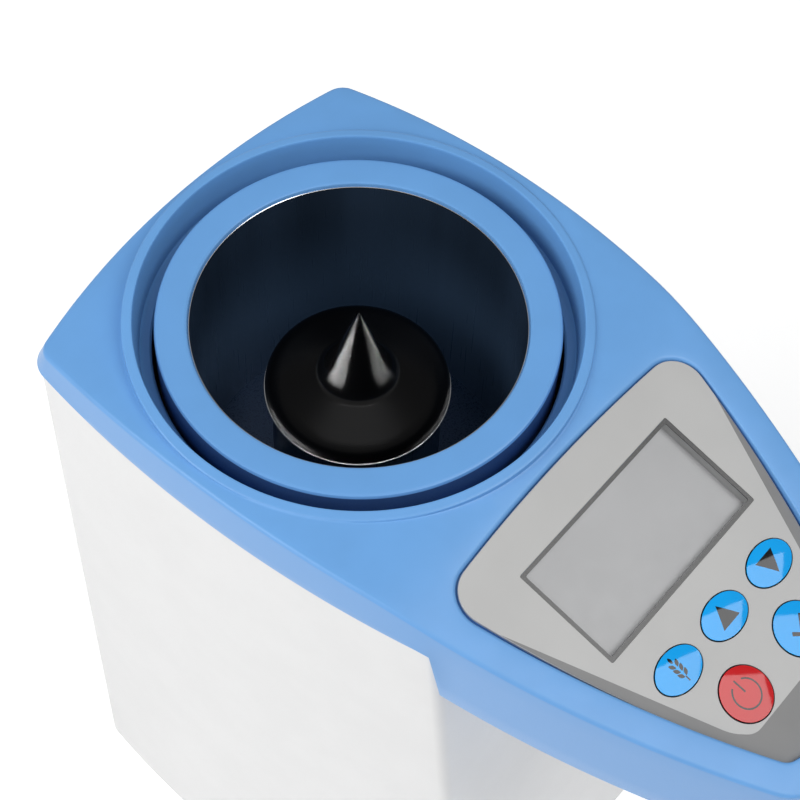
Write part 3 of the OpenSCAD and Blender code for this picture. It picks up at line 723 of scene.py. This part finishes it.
def body_outline(inset, z, corner):
    """Plan of the body at a height: the cover's sides and back, cut by the leaning front wall."""
    r, back_r = SIDE_R - inset, BACK_R - inset
    side = Vector((COVER_W / 2 - SIDE_R, 0))
    back = Vector((0, BACK_Y - BACK_R))
    y = front_y(z) + inset - BODY_INSET
    near = Vector((side.x + math.sqrt((r - corner) ** 2 - (y + corner) ** 2), y + corner))
    bc = max(BACK_CORNER - inset, 0.6)
    far = circle_meet(side, r - bc, back, back_r - bc, 1)
    half = [(near.x * t, y) for t in even(10)]
    half += arc(near, corner, -math.pi / 2, heading(side, near), even(8))[1:]
    half += arc(side, r, heading(side, near), heading(side, far), even(60))[1:]
    half += arc(far, bc, heading(side, far), heading(back, far), even(12))[1:]
    half += arc(back, back_r, heading(back, far), math.pi / 2, even(16))[1:]
    return mirrored(half)


def build_body():
    s = Surface()
    bottom = BODY_FLOOR - RING_TOP / MM

    def ring(inset, z, corner):
        return s.loop([(x, y, min(z, skirt_z(y) + 0.4)) for x, y in body_outline(inset, z, corner)])

    levels = [bottom + BODY_EDGE + (EVEN_TOP_Z - bottom - BODY_EDGE) * t for t in even(26)]
    levels += [STEP_Z + LEVEL_STEP * i for i in range(21)]
    levels = sorted(levels)
    outer = [ring(BODY_INSET + 1.5, bottom, 2.0), ring(BODY_INSET + 0.75, bottom + 0.2, 2.4)]
    outer += [ring(BODY_INSET + 0.2, bottom + 0.75, 2.8)]
    outer += [ring(BODY_INSET, z, 3.0) for z in levels]
    inner = [ring(BODY_INSET + BODY_WALL, z, 1.0) for z in reversed(levels[::3] + levels[-1:])]
    inner += [ring(BODY_INSET + BODY_WALL, bottom, 1.0)]
    s.skin(outer + inner, around=True)
    return add_piece("body_shell", s, body_white, "housing", ["main_housing"], crease=40)


def cut_inlet_hole(body):
    """Round hole in the back wall for the power inlet, with a fine chamfer."""
    low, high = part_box("dc_jack")
    middle = (low + high) / 2
    r, wide = INLET_R * MM, (INLET_R + INLET_CHAMFER) * MM
    back = high.y + 0.1 * MM
    section = ((r, back - 8 * MM), (r, back - 0.3 * MM), (wide, back + 0.1 * MM), (wide, back + MM))
    bm = bmesh.new()
    rings = [
        [bm.verts.new((middle.x + k * x, y, JACK_Z * MM + k * z)) for x, z in circle(1, INLET_SIDES)]
        for k, y in section
    ]
    for a, b in zip(rings, rings[1:]):
        for i in range(INLET_SIDES):
            j = (i + 1) % INLET_SIDES
            bm.faces.new((a[i], a[j], b[j], b[i]))
    bm.faces.new(rings[0][::-1])
    bm.faces.new(rings[-1])
    bmesh.ops.recalc_face_normals(bm, faces=bm.faces)
    tool = bpy.data.meshes.new("inlet_cutter")
    bm.to_mesh(tool)
    bm.free()
    cutter = bpy.data.objects.new("inlet_cutter", tool)
    bpy.context.scene.collection.objects.link(cutter)
    cut = body.modifiers.new("inlet", "BOOLEAN")
    cut.operation = "DIFFERENCE"
    cut.solver = "EXACT"
    cut.object = cutter
    bpy.context.view_layer.update()
    mesh = bpy.data.meshes.new_from_object(body.evaluated_get(bpy.context.evaluated_depsgraph_get()))
    body.modifiers.clear()
    body.data = mesh
    bpy.data.objects.remove(cutter)
    mesh.shade_smooth()
    mesh.set_sharp_from_angle(angle=math.radians(30))


cut_inlet_hole(build_body())

# ---- Measuring cup ----

CAP_FOOT_Z = -28.4


def build_ring():
    """Flat ring with a skirt and a collar. Its outer side is painted dark: painted shade for the shadow in
    the groove round it.
    """
    profile = [
        (47.8, -1.3), (47.8, -0.95), (47.72, -0.55), (47.5, -0.22), (47.1, -0.04), (46.6, 0.0), (44.4, 0.0),
        (40.9, 0.0), (40.5, -0.05), (40.2, -0.2), (40.05, -0.45), (40.0, -0.8), (40.0, -4.2), (40.15, -4.4),
        (41.05, -4.4), (41.05, -12.0), (43.2, -12.0), (43.2, -4.6), (45.6, -4.6), (45.6, -14.0),
        (47.8, -14.0),
    ]
    slots = [1] + [0] * (len(profile) - 4) + [1] * 3
    ring = Surface().turned(profile, 200, slots)
    add_piece("measuring_ring", ring, [ring_blue, ring_side_painted_shade], "cup", ["cup_ring"], 30)


def build_walls():
    """The cup's wall, with its bare upper edge, and the wall of the centre electrode."""
    tube = [
        (39.6, -70.0), (39.6, -38.0), (39.6, -1.3), (39.66, -1.06), (39.8, -1.0), (39.95, -1.1),
        (39.95, -4.42), (41.0, -4.42), (41.0, -70.0),
    ]
    slots = [0, 0, 1, 1, 1, 1, 0, 0, 0]
    wall = Surface().turned(tube, 200, slots)
    add_piece("cup_wall", wall, [anodised_painted_deep_light, bare_rim], "cup", ["outer_electrode"], 30)
    centre = [(21.0, CAP_FOOT_Z), (21.0, -70.0), (19.4, -70.0), (19.4, CAP_FOOT_Z)]
    add_piece("inner_wall", Surface().turned(centre, 160), anodised_painted_deep_light, "cup", ["centre_electrode"])


def build_cap():
    """The cone: a steep tip that curves into a shallow slope, a rounded rim and a bead of bare metal."""
    rim_z, rim_r, cone_r, blend_r = -25.0, 22.7, 8.0, 2.5
    slope = math.tan(math.radians(12))
    tip = (0.0, 2.6)
    shoulder = Vector((cone_r + blend_r, rim_z + (rim_r - cone_r - blend_r) * slope))
    knee = Vector((cone_r, shoulder.y + blend_r * slope))
    end = knee + (Vector((0.15, tip[1])) - knee) * 0.25
    blend = [(1 - t) ** 2 * shoulder + 2 * t * (1 - t) * knee + t * t * end for t in even(16)]
    cap = [tip, (0.12, 2.52), (0.28, 2.2)]
    cap += [tuple(p) for p in reversed(blend)]
    cap += [(rim_r - 4.2, rim_z + 0.8), (rim_r - 3.0, rim_z + 0.42), (rim_r - 2.0, rim_z - 0.02)]
    cap += [(rim_r - 1.2, rim_z - 0.5), (rim_r - 0.6, rim_z - 1.05), (rim_r - 0.2, rim_z - 1.7)]
    cap += [(rim_r, rim_z - 2.4), (rim_r, -28.1), (rim_r + 0.14, -28.12), (rim_r + 0.16, -28.3)]
    cap += [(rim_r - 0.2, CAP_FOOT_Z)]
    cap += [(19.35, CAP_FOOT_Z), (19.35, -34.4), (2.6, -34.4), (2.6, -26.2), (0.0, -26.0)]
    tip_bands, slope_bands, bead_bands = 18, 9, 3
    slots = [0] * tip_bands + [1] * slope_bands + [2] * bead_bands
    slots += [1] * (len(cap) - 1 - len(slots))
    cone = Surface().turned(cap, 192, slots, around=False)
    add_piece("cone", cone, [cap_black, cap_satin, bare_rim], "cup", ["electrode_cap"], 30)


build_ring()
build_walls()
build_cap()

# ---- Control panel ----

# Pale field of the film: its lower corners, and the height at which its sides meet the film's edge.
FIELD_CORNERS = ((-20.0, -43.2), (-16.2, -47.4), (16.2, -47.4), (20.0, -43.2))
FIELD_TOP_V = 8.5
FIELD_SIDE = 25.0
FIELD_ROUND = 2.2
FAR = 99.0


def panel_plane(outline):
    """Plan outline to panel coordinates."""
    return [(x, (y - DISPLAY_Y) / math.cos(PANEL_TILT)) for x, y in outline]


def build_overlay():
    s = Surface(on_panel)
    rims = []
    for inset, n in ((0.7, 0.0), (0.6, -0.1), (0.6, SHELF_N)):
        rims.append(s.loop([(x, y, n) for x, y in panel_plane(panel_outline(inset))]))
    tops, bottoms = [], []
    window = divided(rounded_box(WINDOW_W + 0.1, WINDOW_H + 0.1, 0.5), 3.0)
    for hole in [window] + [ellipse(x, y, a + FILM_GAP, b + FILM_GAP) for x, y, a, b in KEYS.values()]:
        tops.append(s.loop([(x, y, 0.0) for x, y in hole]))
        bottoms.append(s.loop([(x, y, SHELF_N) for x, y in hole]))
    outline = [s.points[i][:2] for i in rims[0]]
    half = len(outline) // 2

    def miss(i):
        """How far a point of the outline is from the field's top, and further still if it isn't at a side."""
        x, y = outline[i]
        return abs(y - FIELD_TOP_V) + (abs(x) < FIELD_SIDE) * FAR

    right = min(range(half), key=miss)
    left = min(range(half, len(outline)), key=miss)
    corners = [Vector(p) for p in FIELD_CORNERS]
    run = []
    for k, c in enumerate(corners):
        before = corners[k - 1] if k else Vector(outline[left])
        after = corners[k + 1] if k < 3 else Vector(outline[right])
        a = c + (before - c).normalized() * FIELD_ROUND
        b = c + (after - c).normalized() * FIELD_ROUND
        run += [(1 - t) ** 2 * a + 2 * t * (1 - t) * c + t * t * b for t in even(6)]
    middle = s.loop([(p.x, p.y, 0.0) for p in run])
    line = [rims[0][left], *middle, rims[0][right]]
    field = [tuple(p) for p in run] + outline[right:left + 1]
    s.skin(rims)
    for a, b in zip(tops, bottoms):
        s.skin([a, b])
    s.fill(rims[0], tops, [line], step=5.0, slot_of=lambda m: 0 if inside(field, m[None, :2])[0] else 1)
    s.slot = 1
    s.fill(rims[-1], bottoms, step=9.0, height=lambda x, y: SHELF_N)
    add_piece("panel_film", s, [field_grey, border_grey], "housing", ["panel_overlay"], 30)


def build_window():
    """Dark frame line, and the clear sheet inside it."""
    outer = divided(rounded_box(WINDOW_W, WINDOW_H, 0.5), 3.0)
    width, height = WINDOW_W - 2 * FRAME_LINE, WINDOW_H - 2 * FRAME_LINE
    inner = [(x * width / WINDOW_W, y * height / WINDOW_H) for x, y in outer]
    frame_top, frame_foot = -0.02, -0.35
    s = Surface(on_panel)
    section = ((outer, frame_top), (inner, frame_top), (inner, frame_foot), (outer, frame_foot))
    s.skin([s.loop([(x, y, n) for x, y in shape]) for shape, n in section], around=True)
    add_piece("window_frame", s, window_border, "housing")
    sheet_top, sheet_foot = -0.1, -0.32
    s = Surface(on_panel)
    sheet = [s.loop([(x, y, n) for x, y in inner]) for n in (sheet_top, sheet_foot)]
    s.fill(sheet[0], step=9.0, height=lambda x, y: sheet_top)
    s.slot = 1
    s.skin(sheet)
    s.fill(sheet[1], step=9.0, height=lambda x, y: sheet_foot, slot_of=lambda m: 1)
    add_piece("window_sheet", s, [window_clear, window_inner], "housing", ["display_window"])


def build_gasket():
    """Light frame between the window and the display: a flange under the frame line, and a wall inward."""
    section = ((1.9, -0.36), (0.5, -0.36), (0.5, -0.79), (1.58, -0.79), (1.58, -2.85), (2.0, -2.85))
    s = Surface(on_panel)
    rings = []
    for less, n in section:
        rings.append(s.loop([(x, y, n) for x, y in rounded_box(WINDOW_W - less, WINDOW_H - less, 0.6)]))
    s.skin(rings, around=True)
    add_piece("display_gasket", s, gasket_grey, "housing")


build_overlay()
build_window()
build_gasket()


def stroke(points, w):
    """Outline of a line of constant width through the points."""
    left, right = [], []
    for i, p in enumerate(points):
        a, b = Vector(points[max(i - 1, 0)]), Vector(points[min(i + 1, len(points) - 1)])
        d = (b - a).normalized() * (w / 2)
        left.append((p[0] - d.y, p[1] + d.x))
        right.append((p[0] + d.y, p[1] - d.x))
    return left + right[::-1]


def leaf(x, y, length, width, turn):
    """Pointed oval that starts at a point and leans by an angle."""
    side = [(width / 2 * math.sin(math.pi * t) ** 0.8, length * t) for t in even(8)]
    outline = side + [(-a, b) for a, b in reversed(side[1:-1])]
    c, k = math.cos(turn), math.sin(turn)
    return [(x + a * c - b * k, y + a * k + b * c) for a, b in outline]


def glyphs():
    """Printed symbols of each key, as outlines round its middle."""
    up = divided([(-3.0, -2.1), (3.0, -2.1), (0.0, 3.0)], 1.0)
    down = [(x, -y) for x, y in reversed(up)]
    turn = [math.radians(118 + 304 * t) for t in even(40)]
    power_r, power_line = 3.5, 0.42
    power = [stroke([(power_r * math.cos(a), power_r * math.sin(a)) for a in turn], power_line)]
    power.append(stroke([(0, 0.5), (0, 2.2), (0, 4.0)], power_line))
    tick = [(-2.9, 0.2), (-2.2, 0.9), (-0.8, -0.5), (2.4, 2.6), (3.0, 2.0), (-0.8, -1.8)]
    ear = [stroke([(0, -3.3), (0, -1.9)], 0.36)]
    for row in range(3):
        for side in (-1, 1):
            ear.append(leaf(0.26 * side, -2.0 + 1.35 * row, 1.9, 0.95, -side * 0.62))
    ear.append(leaf(0.0, 1.9, 1.7, 0.85, 0.0))
    return {"key_grain": ear, "key_up": [up], "key_down": [down], "key_power": power,
            "key_confirm": [divided(tick, 0.9)]}


DOME_RISE = 0.34
KEY_EDGE_N = 0.22
KEY_FOOT_N = -4.2
KEY_FLANGE_N = -3.1
STEM_FOOT_N = -6.0
STEM_R = 2.0


def build_key(name, symbols):
    cx, cy, a, b = KEYS[name]
    s = Surface(lambda p: on_panel((p[0] + cx, p[1] + cy, p[2])))

    def dome(x, y):
        return KEY_EDGE_N + DOME_RISE * (1 - (x / a) ** 2 - (y / b) ** 2)

    def oval(grow, n=None):
        shape = ellipse(0, 0, a + grow, b + grow)
        return s.loop([(x, y, dome(x, y) if n is None else n) for x, y in shape])

    sides = [oval(1.0, KEY_FOOT_N), oval(1.0, KEY_FLANGE_N), oval(0.0, KEY_FLANGE_N)]
    sides += [oval(0.0, -0.1), oval(0.0, 0.12)]
    edge = [sides[-1], oval(-0.03), oval(-0.12), oval(-0.22)]
    stem_shape = ellipse(0, 0, STEM_R, STEM_R)
    stem = [s.loop([(x, y, n) for x, y in stem_shape]) for n in (KEY_FOOT_N, STEM_FOOT_N)]
    s.slot = 1
    s.skin(sides)
    s.skin([sides[0], *stem])
    s.fan(stem[1], (0, 0, STEM_FOOT_N))
    s.slot = 0
    s.skin(edge)
    lines = []
    for shape in symbols:
        loop = s.loop([(x, y, dome(x, y)) for x, y in shape])
        lines.append(loop + loop[:1])

    def ink(m):
        return 1 if any(inside([tuple(p) for p in shape], m[None, :2])[0] for shape in symbols) else 0

    s.fill(edge[-1], lines=lines, height=dome, step=0.9, slot_of=ink)
    colour = key_red if name == "key_power" else key_blue
    add_piece(name.replace("key_", "button_"), s, [colour, key_ink], name, [name], 30)


for key, symbols in glyphs().items():
    build_key(key, symbols)

# ---- Load cell ----


def build_beam():
    """The load cell's beam, cut across at even steps along its length, from its fixed end to the end that
    holds the cup.
    """
    low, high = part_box("load_cell")
    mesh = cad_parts["load_cell"].data.copy()
    bm = bmesh.new()
    bm.from_mesh(mesh)
    bmesh.ops.remove_doubles(bm, verts=bm.verts, dist=1e-7)
    for t in even(20)[1:-1]:
        parts = bm.verts[:] + bm.edges[:] + bm.faces[:]
        cut = low + (high - low) * t
        bmesh.ops.bisect_plane(bm, geom=parts, dist=1e-7, plane_co=cut, plane_no=(0, 1, 0))
    bm.to_mesh(mesh)
    bm.free()
    mesh.materials.clear()
    mesh.materials.append(beam_aluminium)
    mesh.shade_smooth()
    mesh.set_sharp_from_angle(angle=math.radians(30))
    beam = bpy.data.objects.new("load_cell_beam", mesh)
    bpy.context.scene.collection.objects.link(beam)
    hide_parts("load_cell")
    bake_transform(beam)


build_beam()

# ---- Finishes of the CAD nodes that keep their shape ----

FINISHES = {
    "nose_cover": cover_blue, "base_plate": base_white, "battery_door": base_white, "rubber_feet": rubber,
    "cup_base": floor_black, "centre_bolt": zinc, "temperature_probe": steel, "sensor_board": board_green,
    "cup_carrier": beam_aluminium, "cup_screws": zinc, "carrier_screws": zinc,
    "load_cell_spacer": beam_aluminium, "load_cell_screws": zinc, "chassis_plate": sheet_metal,
    "chassis_screws": zinc, "main_board": board_green, "board_pillars": brass, "board_screws": zinc,
    "board_chips": chip_black, "board_capacitors": can_blue, "board_connectors": connector_ivory,
    "buzzer": chip_black, "lcd_glass": lcd_grey, "backlight": diffuser, "display_board": board_green,
    "display_board_screws": zinc, "key_domes": steel, "ribbon_cable": ribbon_grey, "battery_tray": tray_black,
    "batteries": sleeve_green, "battery_springs": zinc, "battery_contacts": zinc, "dc_jack": chip_black,
    "dc_pin": steel, "cover_screws": zinc, "base_screws": zinc, "nose_screws": zinc,
}


def finish_nodes():
    for name, finish in FINISHES.items():
        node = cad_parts[name]
        node.data.materials.clear()
        node.data.materials.append(finish)
        node.data.shade_smooth()
        node.data.set_sharp_from_angle(angle=math.radians(30))


finish_nodes()

# ---- Floor and light ----


def add_floor():
    bpy.ops.mesh.primitive_plane_add(size=8)
    floor = bpy.context.object
    floor.name = "floor"
    n = Nodes("floor_white")
    n.join(n.mix(n.ramp(n.noise(1.5), 0.3, 0.7), (0.93, 0.93, 0.93), (0.96, 0.96, 0.96)),
           n.shader.inputs["Base Color"])
    n.shader.inputs["Roughness"].default_value = 0.9
    n.shader.inputs["Emission Color"].default_value = (1, 1, 1, 1)
    n.shader.inputs["Emission Strength"].default_value = 0.37
    floor.data.materials.append(n.material)


def add_softbox(name, spot, aim, size, glow, top=(0, 0, 1)):
    """Area light at a spot that looks at the aim, with its upper edge towards top. Both are in metres from
    the ring's middle. glow is the light's radiance."""
    light = bpy.data.lights.new(name, "AREA")
    light.shape = "RECTANGLE"
    light.size, light.size_y = size
    light.energy = glow * math.pi * size[0] * size[1]
    lamp = bpy.data.objects.new(name, light)
    at = place((0, 0, 0)) + Vector(spot)
    back = (at - place((0, 0, 0)) - Vector(aim)).normalized()
    across = Vector(top).cross(back).normalized()
    turn = Matrix((across, back.cross(across), back)).transposed().to_4x4()
    lamp.matrix_world = Matrix.Translation(at) @ turn
    bpy.context.scene.collection.objects.link(lamp)
    return lamp


def light_only(lamp, piece, shade_from):
    """The lamp lights this piece alone, and only shade_from can shade it. It is sampled directly."""
    lamp.data.cycles.use_multiple_importance_sampling = False
    for role, thing in (("receiver_collection", piece), ("blocker_collection", shade_from)):
        group = bpy.data.collections.new(lamp.name + "_" + role)
        group.objects.link(thing)
        setattr(lamp.light_linking, role, group)


def light_all_but(lamp, pieces):
    """The lamp lights everything except these pieces."""
    group = bpy.data.collections.new(lamp.name + "_left_out")
    for piece in pieces:
        group.objects.link(piece)
    for member in group.collection_objects:
        member.light_linking.link_state = "EXCLUDE"
    lamp.light_linking.receiver_collection = group


def add_world():
    """Even white surroundings with a brighter patch almost straight overhead."""
    world = bpy.data.worlds.new("studio")
    bpy.context.scene.world = world
    world.use_nodes = True
    tree = world.node_tree
    coords = tree.nodes.new("ShaderNodeTexCoord")
    toward = tree.nodes.new("ShaderNodeVectorMath")
    toward.operation = "DOT_PRODUCT"
    toward.inputs[1].default_value = Vector((-0.08, -0.06, 0.995)).normalized()
    patch = tree.nodes.new("ShaderNodeMapRange")
    patch.interpolation_type = "SMOOTHSTEP"
    for key, number in (("From Min", 0.91), ("From Max", 0.985), ("To Min", 0.26), ("To Max", 0.42)):
        patch.inputs[key].default_value = number
    tree.links.new(coords.outputs["Generated"], toward.inputs[0])
    tree.links.new(toward.outputs["Value"], patch.inputs["Value"])
    tree.links.new(patch.outputs["Result"], tree.nodes["Background"].inputs["Strength"])
    tree.nodes["Background"].inputs["Color"].default_value = (1, 1, 1, 1)


# Level directions as the camera sees them, and the distance of the cone's own lights, in metres.
AWAY = Vector((0.797, 0.604, 0))
RIGHT = Vector((0.604, -0.797, 0))
CAP_LIGHT_AWAY = 0.3


def light_scene():
    """Three softboxes for everything but the cone and the window, and three lights for the cone alone."""
    bpy.context.scene.view_settings.view_transform = "Standard"
    add_world()
    panel = Vector((0, -0.11, -0.01))
    spot = panel + 0.95 * (AWAY * -0.09 + RIGHT * 0.5 + Vector((0, 0, 0.87)))
    right = add_softbox("right_softbox", spot, panel, (0.62, 0.62), 3.4, AWAY - RIGHT * 0.3)
    left = add_softbox("left_softbox", (-0.75, 0.36, 0.62), (0, 0, -0.05), (0.7, 0.7), 3.9)
    spot = Vector((0, 0, 0)) - AWAY * 0.6 - RIGHT * 0.1 + Vector((0, 0, 0.79))
    front = add_softbox("front_softbox", spot, (0, 0, 0), (0.6, 0.6), 1.4, AWAY)
    cap = bpy.data.objects["cone"]
    for lamp in (right, left, front):
        light_all_but(lamp, [cap, bpy.data.objects["window_sheet"]])
    cone = Vector((0, 0, -0.015))
    for side, glow, turn in ((-1, 5.0, 0.35), (1, 1.2, 0.0)):
        spot = cone + CAP_LIGHT_AWAY * (RIGHT * side * 0.82 - AWAY * turn + Vector((0, 0, -0.56)))
        lamp = add_softbox("cone_light_%d" % (side + 1), spot, cone, (0.3, 0.3), glow)
        light_only(lamp, cap, bpy.data.objects["floor"])
    spot = cone + CAP_LIGHT_AWAY * (AWAY * 0.1 + Vector((0, 0, 0.99)))
    lamp = add_softbox("slope_light", spot, cone, (0.2, 0.2), 0.85, AWAY)
    light_only(lamp, cap, bpy.data.objects["floor"])


add_floor()
light_scene()
